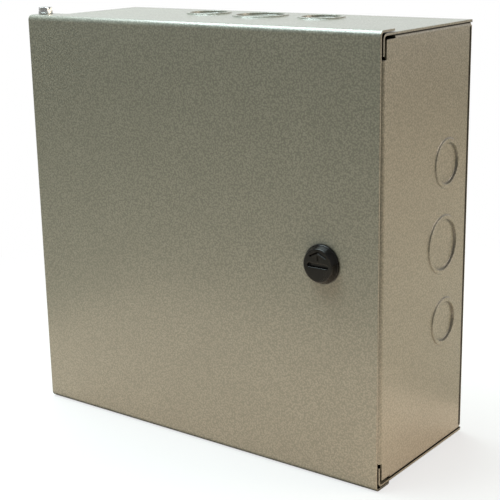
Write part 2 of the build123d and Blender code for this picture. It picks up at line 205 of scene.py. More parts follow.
class SheetSettings(PropertyGroup):
    """Marks of the press and the welder on the sheet of the box."""
    small_disc: FloatProperty(
        name="Small disc", description="Diameter of the smaller knockout discs", unit="LENGTH",
        default=27.8 * MM)
    large_disc: FloatProperty(
        name="Large disc", description="Diameter of the larger knockout discs", unit="LENGTH",
        default=34.9 * MM)
    small_ring: FloatProperty(
        name="Small ring", description="Diameter of the rings round the smaller discs", unit="LENGTH",
        default=34.9 * MM)
    large_ring: FloatProperty(
        name="Large ring", description="Diameter of the rings round the larger discs", unit="LENGTH",
        default=41.9 * MM)
    side_pitch: FloatProperty(
        name="Side pitch", description="Between the knockouts of a side wall", unit="LENGTH",
        default=56.4 * MM)
    top_pitch: FloatProperty(
        name="Top pitch", description="Between the knockouts of the top and the bottom", unit="LENGTH",
        default=50.8 * MM)
    groove: FloatProperty(
        name="Groove", description="Depth of the groove behind a ring", unit="LENGTH", default=0.5 * MM)
    groove_margin: FloatProperty(
        name="Groove margin", description="From a groove to the edges of its ring", unit="LENGTH",
        default=0.2 * MM)
    disc_step: FloatProperty(
        name="Disc step", description="How far a disc is pushed into the box", unit="LENGTH",
        default=0.7 * MM)
    sheet: FloatProperty(
        name="Sheet", description="Thickness of the box's sheet", unit="LENGTH", default=1.5 * MM)
    ring_slope: FloatProperty(
        name="Ring slope", description="Run of the slopes up to the top of a knockout's ring",
        unit="LENGTH", default=0.5 * MM)
    tab_reach: FloatProperty(
        name="Tab reach", description="From the back of the box to the front end of a weld tab",
        unit="LENGTH", default=105.4 * MM)
    back_line: FloatProperty(
        name="Back line", description="Width of the line pressed along the back edge of a side wall",
        unit="LENGTH", default=2.8 * MM)
    back_line_depth: FloatProperty(
        name="Back line depth", description="Depth of that line", unit="LENGTH", default=1.2 * MM)
    back_line_inset: FloatProperty(
        name="Back line inset", description="From the back and from the top to that line", unit="LENGTH",
        default=3.2 * MM)
    weld: FloatProperty(
        name="Weld mark", description="Diameter of a spot weld's mark", unit="LENGTH", default=5.5 * MM)
    weld_inset: FloatProperty(
        name="Weld inset", description="From the side of the box to the row of welds", unit="LENGTH",
        default=9.5 * MM)


class StageSettings(PropertyGroup):
    """Camera, lamps and floor."""
    camera_place: FloatVectorProperty(
        name="Camera", description="Place of the camera", subtype="TRANSLATION", unit="LENGTH",
        default=(0.5286, -0.75742, 0.21847))
    camera_yaw: FloatProperty(
        name="Yaw", description="Turn of the camera to the left", subtype="ANGLE",
        default=radians(36.991))
    camera_pitch: FloatProperty(
        name="Pitch", description="Tilt of the camera downwards", subtype="ANGLE",
        default=radians(15.342))
    camera_roll: FloatProperty(
        name="Roll", description="Lean of the camera", subtype="ANGLE", default=radians(-1.073))
    focal_length: FloatProperty(
        name="Focal length", description="On a 36 mm sensor, in millimetres", default=86.88)
    top_place: FloatVectorProperty(
        name="Top place", description="Place of the lamp above", subtype="TRANSLATION", unit="LENGTH",
        default=(-0.4, -0.15, 1.3))
    top_size: FloatVectorProperty(
        name="Top size", description="Width and depth of the lamp above", size=2, unit="LENGTH",
        default=(1.5, 1.0))
    top_power: FloatProperty(
        name="Top lamp", description="Large soft lamp above", unit="POWER", default=44.2)
    top_colour: FloatVectorProperty(
        name="Top colour", description="Daylight from above", subtype="COLOR", min=0, max=1,
        default=(0.843, 0.996, 1.0))
    side_place: FloatVectorProperty(
        name="Side place", description="Place of the lamp on the right", subtype="TRANSLATION",
        unit="LENGTH", default=(1.3, 0.6, 0.45))
    side_size: FloatVectorProperty(
        name="Side size", description="Width and height of the lamp on the right", size=2, unit="LENGTH",
        default=(0.8, 0.8))
    side_power: FloatProperty(
        name="Side lamp", description="Soft lamp on the right", unit="POWER", default=14.0)
    side_colour: FloatVectorProperty(
        name="Side colour", description="Warm light of the room", subtype="COLOR", min=0, max=1,
        default=(1.0, 0.85, 0.683))
    card_gap: FloatProperty(
        name="Card gap", description="From the object to the middle of a card on the floor",
        unit="LENGTH", default=142 * MM)
    front_card_size: FloatVectorProperty(
        name="Front card size", description="Width and depth of the card in front", size=2,
        unit="LENGTH", default=(0.6, 0.28))
    side_card_size: FloatVectorProperty(
        name="Side card size", description="Width and depth of the card on the right", size=2,
        unit="LENGTH", default=(0.28, 0.4))
    side_card_lead: FloatProperty(
        name="Side card lead", description="How far the card on the right stands before the latch",
        unit="LENGTH", default=30 * MM)
    front_card_power: FloatProperty(
        name="Front card", description="Light thrown up from the floor in front", unit="POWER",
        default=0.52)
    side_card_power: FloatProperty(
        name="Side card", description="Light thrown up from the floor on the right", unit="POWER",
        default=0.246)
    card_colour: FloatVectorProperty(
        name="Card colour", description="Light thrown up from the floor", subtype="COLOR", min=0, max=1,
        default=(1.0, 0.77, 0.58))
    bounce: FloatVectorProperty(
        name="Bounce", description="Colour of the light off the floor", subtype="COLOR", min=0, max=1,
        default=(0.54, 0.46, 0.38))
    floor: FloatVectorProperty(
        name="Floor", description="Pale floor", subtype="COLOR", min=0, max=1,
        default=(0.88, 0.87, 0.85))


# Shader nodes

def add(tree, kind, values=None, **settings):
    """New node with its settings. A value is linked where it is a socket, and set otherwise."""
    made = tree.nodes.new(kind)
    for name, value in settings.items():
        setattr(made, name, value)
    for name, value in (values or {}).items():
        socket = made.inputs[name]
        if isinstance(value, NodeSocket):
            tree.links.new(value, socket)
        else:
            socket.default_value = value
    return made


def calculate(tree, operation, first, second):
    return add(tree, "ShaderNodeMath", {0: first, 1: second}, operation=operation).outputs[0]


def rescale(tree, value, low, high, source_low=0.0, source_high=1.0):
    """Value between two levels, as smoothly as its source."""
    levels = {"Value": value, "From Min": source_low, "From Max": source_high,
              "To Min": low, "To Max": high}
    return add(tree, "ShaderNodeMapRange", levels, interpolation_type="SMOOTHSTEP").outputs[0]


def blend(tree, share, first, second):
    """Colour between two colours."""
    colours = {0: share, 6: first, 7: second}
    return add(tree, "ShaderNodeMix", colours, data_type="RGBA").outputs[2]


def opaque(colour, gain=1.0):
    return (*(channel * gain for channel in colour), 1.0)


def new_group(name, inputs, outputs):
    """Empty shader group with named inputs and outputs."""
    tree = bpy.data.node_groups.new(name, "ShaderNodeTree")
    for label, kind in inputs:
        tree.interface.new_socket(label, in_out="INPUT", socket_type=kind)
    for label in outputs:
        tree.interface.new_socket(label, in_out="OUTPUT", socket_type="NodeSocketFloat")
    return tree, tree.nodes.new("NodeGroupInput").outputs, tree.nodes.new("NodeGroupOutput").inputs


def grain_group():
    """Fine rounded grain, with the broad unevenness that goes with it."""
    name = "Rounded grain"
    if name in bpy.data.node_groups:
        return bpy.data.node_groups[name]
    sockets = [("Vector", "NodeSocketVector"), ("Size", "NodeSocketFloat")]
    tree, source, result = new_group(name, sockets, ["Height", "Unevenness"])
    scale = calculate(tree, "DIVIDE", 1.0, source["Size"])
    cells = add(tree, "ShaderNodeTexVoronoi", {"Vector": source["Vector"], "Scale": scale},
                feature="SMOOTH_F1")
    ripple = add(tree, "ShaderNodeTexNoise", {"Vector": source["Vector"], "Scale": scale, "Detail": 2.0})
    domes = rescale(tree, cells.outputs["Distance"], 1.0, 0.0, source_low=0.1, source_high=0.7)
    both = calculate(tree, "ADD", domes, ripple.outputs["Fac"])
    tree.links.new(calculate(tree, "MULTIPLY", both, 0.5), result["Height"])
    broad = calculate(tree, "MULTIPLY", scale, 0.045)
    cloud = add(tree, "ShaderNodeTexNoise", {"Vector": source["Vector"], "Scale": broad, "Detail": 4.0})
    tree.links.new(cloud.outputs["Fac"], result["Unevenness"])
    return tree


def handling_group():
    """Smudges and short fine scratches left by handling."""
    name = "Handling marks"
    if name in bpy.data.node_groups:
        return bpy.data.node_groups[name]
    sockets = [("Vector", "NodeSocketVector"), ("Size", "NodeSocketFloat")]
    tree, source, result = new_group(name, sockets, ["Smudges", "Scratches"])
    scale = calculate(tree, "DIVIDE", 1.0, source["Size"])
    smudges = add(tree, "ShaderNodeTexNoise",
                  {"Vector": source["Vector"], "Scale": scale, "Detail": 5.0, "Distortion": 0.6})
    patches = rescale(tree, smudges.outputs["Fac"], 0.0, 1.0, source_low=0.35, source_high=0.7)
    tree.links.new(patches, result["Smudges"])
    drawn = add(tree, "ShaderNodeMapping",
                {"Vector": source["Vector"], "Rotation": (0.4, 0.5, 0.7), "Scale": (1.0, 24.0, 24.0)})
    lines = add(tree, "ShaderNodeTexNoise", {"Vector": drawn.outputs[0], "Scale": scale, "Detail": 3.0})
    scratches = rescale(tree, lines.outputs["Fac"], 0.0, 1.0, source_low=0.58, source_high=0.72)
    tree.links.new(scratches, result["Scratches"])
    return tree


def use_group(tree, group, vector, size):
    made = add(tree, "ShaderNodeGroup", node_tree=group)
    tree.links.new(vector, made.inputs["Vector"])
    made.inputs["Size"].default_value = size
    return made.outputs


def new_material(name):
    """Material with its shader, and the coordinates that its patterns follow."""
    made = bpy.data.materials.new(name)
    made.use_nodes = True
    tree = made.node_tree
    shader = tree.nodes["Principled BSDF"]
    return made, tree, shader, tree.nodes.new("ShaderNodeTexCoord").outputs["Object"]


def connect(tree, shader, colour, roughness, height, distance, strength=1.0):
    """Colour, roughness and bump of a finish."""
    tree.links.new(colour, shader.inputs["Base Color"])
    tree.links.new(roughness, shader.inputs["Roughness"])
    bump = add(tree, "ShaderNodeBump", {"Height": height, "Distance": distance, "Strength": strength})
    tree.links.new(bump.outputs["Normal"], shader.inputs["Normal"])


# Finishes, with the widths of their smudges, the depths of their bumps and their roughness

PAINT_SMUDGE = 60 * MM
LATCH_SMUDGE = 9 * MM
ZINC_SMUDGE = 6 * MM
COPPER_SMUDGE = 5 * MM
PANEL_SMUDGE = 40 * MM
LATCH_GRAIN_DEPTH = 0.03 * MM
SPACER_GRAIN_DEPTH = 0.02 * MM
SCRATCH_DEPTH = 0.01 * MM
# Rays per point for the painted shade in seams and corners
PAINTED_SHADE_SAMPLES = 8
PLATE_ROUGHNESS = 0.22
PLATE_DULLING = 0.16            # roughness that smudges add
PANEL_ROUGHNESS = 0.3
PANEL_DULLING = 0.12
CRYSTAL_DULLING = 0.14          # roughness that pale crystals add
ZINC_TARNISH = (0.78, 0.76, 0.71)       # share of each channel left on cloudy patches
COPPER_TARNISH = (0.7, 0.6, 0.55)


def hammered_paint(settings):
    """Olive grey enamel that dried into small raised cells, with painted shade in its seams and corners."""
    made, tree, shader, place = new_material("Hammered enamel")
    grain = use_group(tree, grain_group(), place, settings.cell)
    handled = use_group(tree, handling_group(), place, PAINT_SMUDGE)
    cells = rescale(tree, grain["Height"], 0.0, 1.0, source_low=0.25, source_high=0.75)
    fresh = blend(tree, cells, opaque(settings.hollow_colour), opaque(settings.colour))
    uneven = rescale(tree, grain["Unevenness"], 0.0, 0.12, source_low=0.4, source_high=0.65)
    coated = blend(tree, uneven, fresh, opaque(settings.hollow_colour))
    # Painted shade: the enamel blends to near black where ambient occlusion finds seams, gaps between parts
    # and concave corners close by
    openness = add(tree, "ShaderNodeAmbientOcclusion", {"Distance": settings.painted_shade_reach},
                   samples=PAINTED_SHADE_SAMPLES)
    painted_shade_mask = rescale(tree, openness.outputs["AO"], 1.0, 0.0, source_low=0.55, source_high=0.9)
    colour = blend(tree, painted_shade_mask, coated, opaque(settings.painted_shade_colour))
    roughness = rescale(tree, handled["Smudges"], 0.34, 0.4)
    connect(tree, shader, colour, roughness, grain["Height"], settings.relief)
    shader.inputs["Coat Weight"].default_value = 0.8
    shader.inputs["Coat Roughness"].default_value = 0.22
    return made


def black_plastic(settings):
    """Black nylon with a spark-grained mould finish."""
    made, tree, shader, place = new_material("Black moulding")
    grain = use_group(tree, grain_group(), place, settings.grain)
    handled = use_group(tree, handling_group(), place, LATCH_SMUDGE)
    dusty = rescale(tree, handled["Smudges"], 0.0, 0.5)
    colour = blend(tree, dusty, opaque(settings.black), opaque(settings.black, 2.4))
    roughness = rescale(tree, handled["Smudges"], 0.2, 0.32)
    connect(tree, shader, colour, roughness, grain["Height"], LATCH_GRAIN_DEPTH)
    shader.inputs["Specular IOR Level"].default_value = 0.28
    return made


def natural_plastic(settings):
    """Milky uncoloured nylon."""
    made, tree, shader, place = new_material("Natural moulding")
    grain = use_group(tree, grain_group(), place, settings.grain)
    colour = blend(tree, grain["Unevenness"], opaque(settings.natural), opaque(settings.natural, 0.86))
    roughness = rescale(tree, grain["Unevenness"], 0.4, 0.55)
    connect(tree, shader, colour, roughness, grain["Height"], SPACER_GRAIN_DEPTH)
    return made


def plated(name, colour, tarnish_shares, smudge):
    """Bright plating with cloudy patches and fine scratches."""
    made, tree, shader, place = new_material(name)
    handled = use_group(tree, handling_group(), place, smudge)
    tarnish = [channel * share for channel, share in zip(colour, tarnish_shares)]
    clouded = blend(tree, handled["Smudges"], opaque(colour), opaque(tarnish))
    dull = calculate(tree, "MULTIPLY", handled["Smudges"], PLATE_DULLING)
    roughness = calculate(tree, "ADD", dull, PLATE_ROUGHNESS)
    connect(tree, shader, clouded, roughness, handled["Scratches"], SCRATCH_DEPTH)
    shader.inputs["Metallic"].default_value = 1.0
    return made


def zinc_plate(settings):
    return plated("Zinc plate", settings.zinc, ZINC_TARNISH, ZINC_SMUDGE)


def copper_plate(settings):
    return plated("Copper plate", settings.copper, COPPER_TARNISH, COPPER_SMUDGE)


def galvanised_sheet(settings):
    """Zinc crystals of differing brightness, under handling marks."""
    made, tree, shader, place = new_material("Galvanised sheet")
    handled = use_group(tree, handling_group(), place, PANEL_SMUDGE)
    bend = add(tree, "ShaderNodeTexNoise",
               {"Vector": place, "Scale": 0.7 / settings.spangle, "Detail": 3.0})
    shift = add(tree, "ShaderNodeVectorMath",
                {0: bend.outputs["Color"], "Scale": 0.5 * settings.spangle}, operation="SCALE")
    bent = add(tree, "ShaderNodeVectorMath", {0: place, 1: shift.outputs[0]}, operation="ADD")
    crystals = add(tree, "ShaderNodeTexVoronoi",
                   {"Vector": bent.outputs[0], "Scale": 1.0 / settings.spangle})
    tone = add(tree, "ShaderNodeSeparateColor", {"Color": crystals.outputs["Color"]}).outputs["Red"]
    dark = opaque(settings.galvanised, 0.72)
    colour = blend(tree, tone, dark, opaque(settings.galvanised, 1.12))
    dull = calculate(tree, "MULTIPLY", tone, CRYSTAL_DULLING)
    smudged = calculate(tree, "MULTIPLY", handled["Smudges"], PANEL_DULLING)
    roughness = calculate(tree, "ADD", calculate(tree, "ADD", dull, smudged), PANEL_ROUGHNESS)
    connect(tree, shader, colour, roughness, handled["Scratches"], SCRATCH_DEPTH)
    shader.inputs["Metallic"].default_value = 1.0
    return made


FINISHES = {
    "hammered_paint": (hammered_paint, "enclosure_paint"),
    "black_plastic": (black_plastic, "enclosure_plastic"),
    "white_plastic": (natural_plastic, "enclosure_plastic"),
    "zinc_steel": (zinc_plate, "enclosure_metal"),
    "copper_plate": (copper_plate, "enclosure_metal"),
    "galvanised_steel": (galvanised_sheet, "enclosure_metal"),
}
finished = {}


def finish_for(slot):
    """Material of one of the record's slots, made on first use."""
    if slot not in finished:
        make, settings = FINISHES[slot]
        finished[slot] = make(getattr(bpy.context.scene, settings))
    return finished[slot]


# Pieces

def dress(piece, mesh, slot, body, *nodes):
    """Object for a finished mesh, riding on its body and standing for its CAD nodes."""
    made = bpy.data.objects.new(piece, mesh)
    bpy.context.scene.collection.objects.link(made)
    mesh.materials.clear()
    mesh.materials.append(finish_for(slot))
    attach(made, body)
    if nodes:
        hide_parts(*nodes)
    return made


def slot_of(node):
    return next(part["material_slot"] for part in frame["record"]["subparts"] if part["node"] == node)


def body_of(node):
    return next(body for body, nodes in frame["record"]["behaviour"]["bodies"].items() if node in nodes)


def mesh_of(skin, name):
    """Plain mesh of a finished skin, which is then let go."""
    mesh = bpy.data.meshes.new(name)
    skin.to_mesh(mesh)
    skin.free()
    return mesh


def one_skin(mesh, name, spared=None):
    """Copy of a mesh in one skin, its flat faces made whole and the edges to round marked.

    An edge with both ends spared stays sharp.
    """
    skin = bmesh.new()
    skin.from_mesh(mesh)
    bmesh.ops.remove_doubles(skin, verts=skin.verts, dist=JOIN_DISTANCE)
    bmesh.ops.dissolve_limit(skin, angle_limit=FLAT_ANGLE, verts=skin.verts, edges=skin.edges)
    weights = skin.edges.layers.float
    weight = weights.get("bevel_weight_edge") or weights.new("bevel_weight_edge")
    for edge in skin.edges:
        sharp = edge.calc_face_angle(0) > ROUNDED_ANGLE
        kept = spared and all(spared(end.co) for end in edge.verts)
        edge[weight] = float(sharp and not kept)
        edge.smooth = not (sharp and kept)
    joined = mesh_of(skin, name)
    joined.shade_smooth()
    return joined


def cut(mesh, cutter_mesh):
    """Mesh with a shape cut out of it."""
    scene = bpy.context.scene.collection.objects
    cutter = bpy.data.objects.new("cutter", cutter_mesh)
    blank = bpy.data.objects.new("blank", mesh)
    for made in (cutter, blank):
        scene.link(made)
    modifier = blank.modifiers.new("Cut", "BOOLEAN")
    modifier.operation = "DIFFERENCE"
    modifier.solver = "EXACT"
    modifier.use_self = True
    modifier.object = cutter
    depsgraph = bpy.context.evaluated_depsgraph_get()
    result = bpy.data.meshes.new_from_object(blank.evaluated_get(depsgraph))
    for made in (cutter, blank):
        bpy.data.objects.remove(made)
    return result


def softened(node, piece, edge, cutters=(), spared=None):
    """Copy of a CAD node with shapes cut out, its sharp edges rounded and its flats shaded flat."""
    mesh = one_skin(frame["nodes"][node].data, piece, spared)
    for cutter in cutters:
        mesh = one_skin(cut(mesh, cutter), piece, spared)
    made = dress(piece, mesh, slot_of(node), body_of(node), node)
    rounding = made.modifiers.new("Rounded edges", "BEVEL")
    rounding.width = edge
    rounding.segments = 2
    rounding.limit_method = "WEIGHT"
    rounding.use_clamp_overlap = spared is None
    flats = made.modifiers.new("Flat faces", "WEIGHTED_NORMAL")
    flats.weight = 100
    flats.keep_sharp = True
    return made


def mesh_from_rings(name, rings, closed_tube=False):
    """Mesh through rings of points. The ends are capped, unless the last ring joins the first."""
    skin = bmesh.new()
    rows = [[skin.verts.new(point) for point in ring] for ring in rings]
    pairs = list(zip(rows, rows[1:]))
    if closed_tube:
        pairs.append((rows[-1], rows[0]))
    for lower, upper in pairs:
        for i in range(len(lower)):
            skin.faces.new((lower[i - 1], lower[i], upper[i], upper[i - 1]))
    if not closed_tube:
        skin.faces.new(reversed(rows[0]))
        skin.faces.new(rows[-1])
    bmesh.ops.recalc_face_normals(skin, faces=skin.faces)
    mesh = mesh_of(skin, name)
    mesh.shade_smooth()
    mesh.set_sharp_from_angle(angle=CRISP_ANGLE)
    return mesh


def circle(radius, height, count=40):
    return [(radius * cos(tau * i / count), radius * sin(tau * i / count), height) for i in range(count)]


def hexagon(flats, height, count, crown=0.0):
    """Ring round a hexagon with two flats facing along x. Its corners droop by a share, for a crown."""
    ring = []
    for i in range(count):
        turn = tau * i / count
        reach = flats / 2 / cos((turn + pi / 6) % (pi / 3) - pi / 6)
        ring.append((reach * cos(turn), reach * sin(turn), height - (reach - flats / 2) * crown))
    return ring


def nut_mesh(name, flats, thread, height, count=72):
    """Hexagon nut along +z, with its corners turned off at both ends and its bore countersunk."""
    bore = thread / 2
    lead = 0.12 * bore
    face = 0.49 * flats
    rise = 0.01 * flats
    rings = [circle(bore, lead, count), circle(bore + lead, 0, count), circle(face, 0, count),
             hexagon(flats, rise, count, -HEX_CROWN), hexagon(flats, height - rise, count, HEX_CROWN),
             circle(face, height, count), circle(bore + lead, height, count),
             circle(bore, height - lead, count)]
    return mesh_from_rings(name, rings, closed_tube=True)


def thread_rings(radius, settings, start, end, count):
    """Rings along +z whose radius follows a single-start thread, run out at its end."""
    pitch = settings.pitch_share * 2 * radius
    depth = settings.depth_share * pitch
    steps = round((end - start) / pitch * THREAD_STEPS)
    rings = []
    for step in range(steps + 1):
        height = start + (end - start) * step / steps
        tip = min(1.0, (end - height) / pitch)
        ring = []
        for i in range(count):
            phase = (height / pitch - i / count) % 1.0
            reach = radius - depth * (abs(2 * phase - 1) * tip + (1 - tip))
            ring.append((reach * cos(tau * i / count), reach * sin(tau * i / count), height))
        rings.append(ring)
    return rings


def stand(mesh, place, direction):
    """Turns a mesh made along +z to a direction and puts its own origin at a place."""
    mesh.transform(Matrix.Translation(place) @ direction.to_track_quat("Z", "Y").to_matrix().to_4x4())
    return mesh


# Sets of like pieces

def like_pieces_tree():
    """Geometry nodes that put a master at each place, turned to face its direction."""
    name = "Like pieces"
    if name in bpy.data.node_groups:
        return bpy.data.node_groups[name]
    tree = bpy.data.node_groups.new(name, "GeometryNodeTree")
    for label, kind in (("Places", "NodeSocketGeometry"), ("Master", "NodeSocketObject"),
                        ("Scale", "NodeSocketFloat"), ("Finish", "NodeSocketMaterial")):
        tree.interface.new_socket(label, in_out="INPUT", socket_type=kind)
    tree.interface.new_socket("Pieces", in_out="OUTPUT", socket_type="NodeSocketGeometry")
    source = tree.nodes.new("NodeGroupInput").outputs
    master = add(tree, "GeometryNodeObjectInfo", {"Object": source["Master"]})
    facing = add(tree, "GeometryNodeInputNamedAttribute", {"Name": "facing"}, data_type="FLOAT_VECTOR")
    turned = add(tree, "FunctionNodeAlignRotationToVector", {"Vector": facing.outputs[0]}, axis="Z")
    copies = add(tree, "GeometryNodeInstanceOnPoints",
                 {"Points": source["Places"], "Instance": master.outputs["Geometry"],
                  "Rotation": turned.outputs[0], "Scale": source["Scale"]})
    real = add(tree, "GeometryNodeRealizeInstances", {"Geometry": copies.outputs[0]})
    painted = add(tree, "GeometryNodeSetMaterial",
                  {"Geometry": real.outputs[0], "Material": source["Finish"]})
    result = tree.nodes.new("NodeGroupOutput")
    tree.links.new(painted.outputs[0], result.inputs["Pieces"])
    return tree


def like_mesh(master_mesh, places, slot="zinc_steel"):
    """One mesh of a master repeated at (place, direction) pairs."""
    tree = like_pieces_tree()
    keys = {item.name: item.identifier for item in tree.interface.items_tree if item.in_out == "INPUT"}
    scene = bpy.context.scene.collection.objects
    master = bpy.data.objects.new("master", master_mesh)
    scene.link(master)
    points = bpy.data.meshes.new("places")
    points.from_pydata([place for place, direction in places], [], [])
    facing = points.attributes.new("facing", "FLOAT_VECTOR", "POINT")
    for item, (place, direction) in zip(facing.data, places):
        item.vector = direction
    holder = bpy.data.objects.new("places", points)
    scene.link(holder)
    modifier = holder.modifiers.new("Like pieces", "NODES")
    modifier.node_group = tree
    modifier[keys["Master"]] = master
    modifier[keys["Scale"]] = 1.0
    modifier[keys["Finish"]] = finish_for(slot)
    depsgraph = bpy.context.evaluated_depsgraph_get()
    mesh = bpy.data.meshes.new_from_object(holder.evaluated_get(depsgraph))
    bpy.data.objects.remove(holder)
    bpy.data.objects.remove(master)
    return mesh


def middle_of(node):
    low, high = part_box(node)
    return (low + high) / 2


def size_of(node):
    low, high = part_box(node)
    return high - low


# Fasteners

def nut(node, piece, thread, direction):
    """Crowned nut in place of a CAD nut, standing on its seat and facing a direction."""
    size = size_of(node)
    height = abs(size.dot(direction))
    seat = middle_of(node) - direction * height / 2
    mesh = stand(nut_mesh(piece, size.x, thread, height), seat, direction)
    return dress(piece, mesh, slot_of(node), body_of(node), node)


def corner_places(node, flats):
    """Seats of four like hexagons that face the front, from the box round all four."""
    low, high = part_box(node)
    centre = (low + high) / 2
    reach = (high.x - low.x - flats) / 2
    return [(Vector((centre.x + side * reach, high.y, centre.z + level * reach)), FRONTWARDS)
            for side in (-1, 1) for level in (-1, 1)]


def collar_stud(settings, count=48):
    """Stud along +z with a hexagon collar that the panel rests on and a threaded end."""
    length = size_of("panel_studs").y
    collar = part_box("panel_studs")[1].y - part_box("mounting_panel")[1].y
    radius = settings.panel_thread / 2
    flats = settings.collar_flats
    thread_start = 0.75 * length
    rings = [hexagon(flats, 0, count), hexagon(flats, collar, count, HEX_CROWN),
             circle(flats / 2, collar, count), circle(radius, collar, count)]
    rings += thread_rings(radius, settings, thread_start, length, count)
    return mesh_from_rings("collar_stud", rings)


def ground_bar(settings, count=48):
    """Threaded stud along +z on its round weld base."""
    size = size_of("ground_stud")
    base = size.x / 2
    thickness = settings.ground_base
    rim = 0.3 * thickness
    thread_start = 2 * thickness
    radius = settings.ground_thread / 2
    rings = [circle(base, 0, count), circle(base, thickness - rim, count),
             circle(base - rim, thickness, count), circle(radius, thickness, count)]
    rings += thread_rings(radius, settings, thread_start, size.y, count)
    return mesh_from_rings("ground_bar", rings)


# Pointer on the latch, in shares of the knob's radius

POINTER_TIP = 0.72
POINTER_ARM = (0.5, 0.46)           # end of an arm of the chevron, sideways and up
POINTER_STEM = (0.5, 0.26)          # head and foot
POINTER_FIELD = (0.6, 0.2, 0.78)    # half width, foot and head of the area that holds it
KNOB_SIGHT = 3 * MM                 # how far behind its front the knob is in sight


def wedge_between(skin, start, end, width, depth):
    """Wedge along a line on the front of the latch, for cutting a V-shaped line."""
    across = (end - start).normalized().cross(INWARDS) * width
    below = INWARDS * depth
    rows = []
    for point in (start, end):
        corners = (point - across - below, point + across - below, point + below)
        rows.append([skin.verts.new(corner) for corner in corners])
    skin.faces.new(rows[0])
    skin.faces.new(reversed(rows[1]))
    for i in range(3):
        skin.faces.new((rows[0][i - 1], rows[1][i - 1], rows[1][i], rows[0][i]))


def on_pointer(point):
    """Whether a point of the latch is on its pointer, or out of sight behind the knob."""
    half_width, foot, head = (share * KNOB_REACH for share in POINTER_FIELD)
    offset = point - latch_centre
    behind = point.y > KNOB_FRONT + KNOB_SIGHT
    return behind or abs(offset.x) < half_width and foot < offset.z < head


def pointer_cutter(settings):
    """Upward pointer: a wide chevron over a short stem."""
    front = Vector((latch_centre.x, KNOB_FRONT, latch_centre.z))
    tip = front + UPWARDS * POINTER_TIP * KNOB_REACH
    arm_side, arm_rise = POINTER_ARM
    skin = bmesh.new()
    for side in (-1, 1):
        arm = front + Vector((side * arm_side * KNOB_REACH, 0, arm_rise * KNOB_REACH))
        wedge_between(skin, tip, arm, settings.mark_width, settings.mark_depth)
    head, foot = (front + UPWARDS * share * KNOB_REACH for share in POINTER_STEM)
    wedge_between(skin, head, foot, settings.mark_width, settings.mark_depth)
    bmesh.ops.recalc_face_normals(skin, faces=skin.faces)
    return mesh_of(skin, "pointer_cutter")


# Marks on the sheet of the box

WELD_SHARES = (0.3, 0.5, 0.7, 0.9)  # places of the welds along a tab
CORNER_REACH = 6 * MM               # a back corner, in from the side wall
NOTCH_DEPTH = 4.5 * MM              # its notch, forwards from the back
NOTCH_HEIGHT = 4.2 * MM             # its notch, from the top or the bottom
SEAM_FAR = 2 * MM                   # the seam over a weld tab, from the top or the bottom
SEAM_NEAR = 1.4 * MM
RING_TOP = 0.9 * MM                 # a point higher than this over a wall is on the top of a ring
RING_FIELD = 0.6                    # radius that holds all of a ring, as a share of its diameter


def knockout_places(settings, large):
    """Place and inward direction of each large or small knockout on the inside of the four walls."""
    places = []
    for name, mount in mounts.items():
        if name.endswith("knockouts"):
            outwards = Vector(mount["axis"])
            place = Vector(mount["pos_m"]) - outwards * settings.sheet
            upright = Vector((0, 0, settings.side_pitch))
            along = upright if outwards.x else Vector((settings.top_pitch, 0, 0))
            shift = INWARDS * (settings.large_ring - settings.small_ring) / 2
            row = [place] if large else [place + shift - along, place + shift + along]
            places += [(spot, -outwards) for spot in row]
    return places


def weld_places(settings):
    """Spot welds along the tabs under the top wall and over the bottom wall."""
    inside = TOP_WALL - 2 * settings.sheet
    places = []
    for side in (-1, 1):
        for level in (-1, 1):
            for share in WELD_SHARES:
                depth = -share * settings.tab_reach
                spot = Vector((side * (SIDE_WALL - settings.weld_inset), depth, level * inside))
                places.append((spot, UPWARDS * -level))
    return places


def back_lines(settings):
    """Blocks that press a line into both side walls along the back, for cutting."""
    skin = bmesh.new()
    depth = settings.back_line_inset + settings.back_line / 2
    height = 2 * (TOP_WALL - settings.sheet - settings.back_line_inset)
    size = Matrix.Diagonal((2 * settings.back_line_depth, settings.back_line, height, 1.0))
    for side in (-1, 1):
        place = Matrix.Translation((side * SIDE_WALL, -depth, 0))
        bmesh.ops.create_cube(skin, size=1.0, matrix=place @ size)
    return mesh_of(skin, "back_lines")


def in_corner(point):
    """Whether a point of the box is by the notch of a back corner, or in the seam over a weld tab."""
    beside = abs(point.x) > SIDE_WALL - CORNER_REACH
    notch = point.y > -NOTCH_DEPTH and abs(point.z) > TOP_WALL - NOTCH_HEIGHT
    seam = TOP_WALL - SEAM_FAR < abs(point.z) < TOP_WALL - SEAM_NEAR
    return beside and (notch or seam)


def slope_ring(mesh, place, inwards, disc, ring, settings):
    """Draws in the top edges of a knockout's ring, so that sloping sides run up to it."""
    outwards = -inwards
    for vertex in mesh.vertices:
        offset = vertex.co - place
        height = offset.dot(outwards)
        across = offset - outwards * height
        if height > settings.sheet + RING_TOP and across.length < RING_FIELD * ring:
            inner = across.length < (disc + ring) / 4
            shift = settings.ring_slope if inner else -settings.ring_slope
            vertex.co += across.normalized() * shift


def pushed_disc(diameter, step, count=64):
    """Back of a knockout: a shallow disc along +z with a worn rim."""
    rim = 0.3 * step
    worn = 0.3 * rim
    radius = diameter / 2
    rings = [circle(radius, -step, count), circle(radius, step - rim, count),
             circle(radius - worn, step - worn, count), circle(radius - rim, step, count)]
    return mesh_from_rings("pushed_disc", rings)


def ring_groove(disc, ring, settings, count=64):
    """Hollow behind a knockout's raised ring, for cutting into a wall along -z."""
    inner = disc / 2 + settings.groove_margin
    outer = ring / 2 - settings.groove_margin
    depth = settings.groove
    rings = [circle(inner, -depth, count), circle(outer, -depth, count), circle(outer, depth, count),
             circle(inner, depth, count)]
    return mesh_from_rings("ring_groove", rings, closed_tube=True)


def weld_mark(diameter, count=32):
    """Ring of squeezed metal round the dent of a spot weld, along +z."""
    radius = diameter / 2
    profile_shares = ((1.0, -0.02), (0.9, 0.03), (0.8, 0.05), (0.7, 0.03), (0.6, 0.008), (0.3, 0.004))
    rings = [circle(across * radius, rise * diameter, count) for across, rise in profile_shares]
    return mesh_from_rings("weld_mark", rings)


# Operators

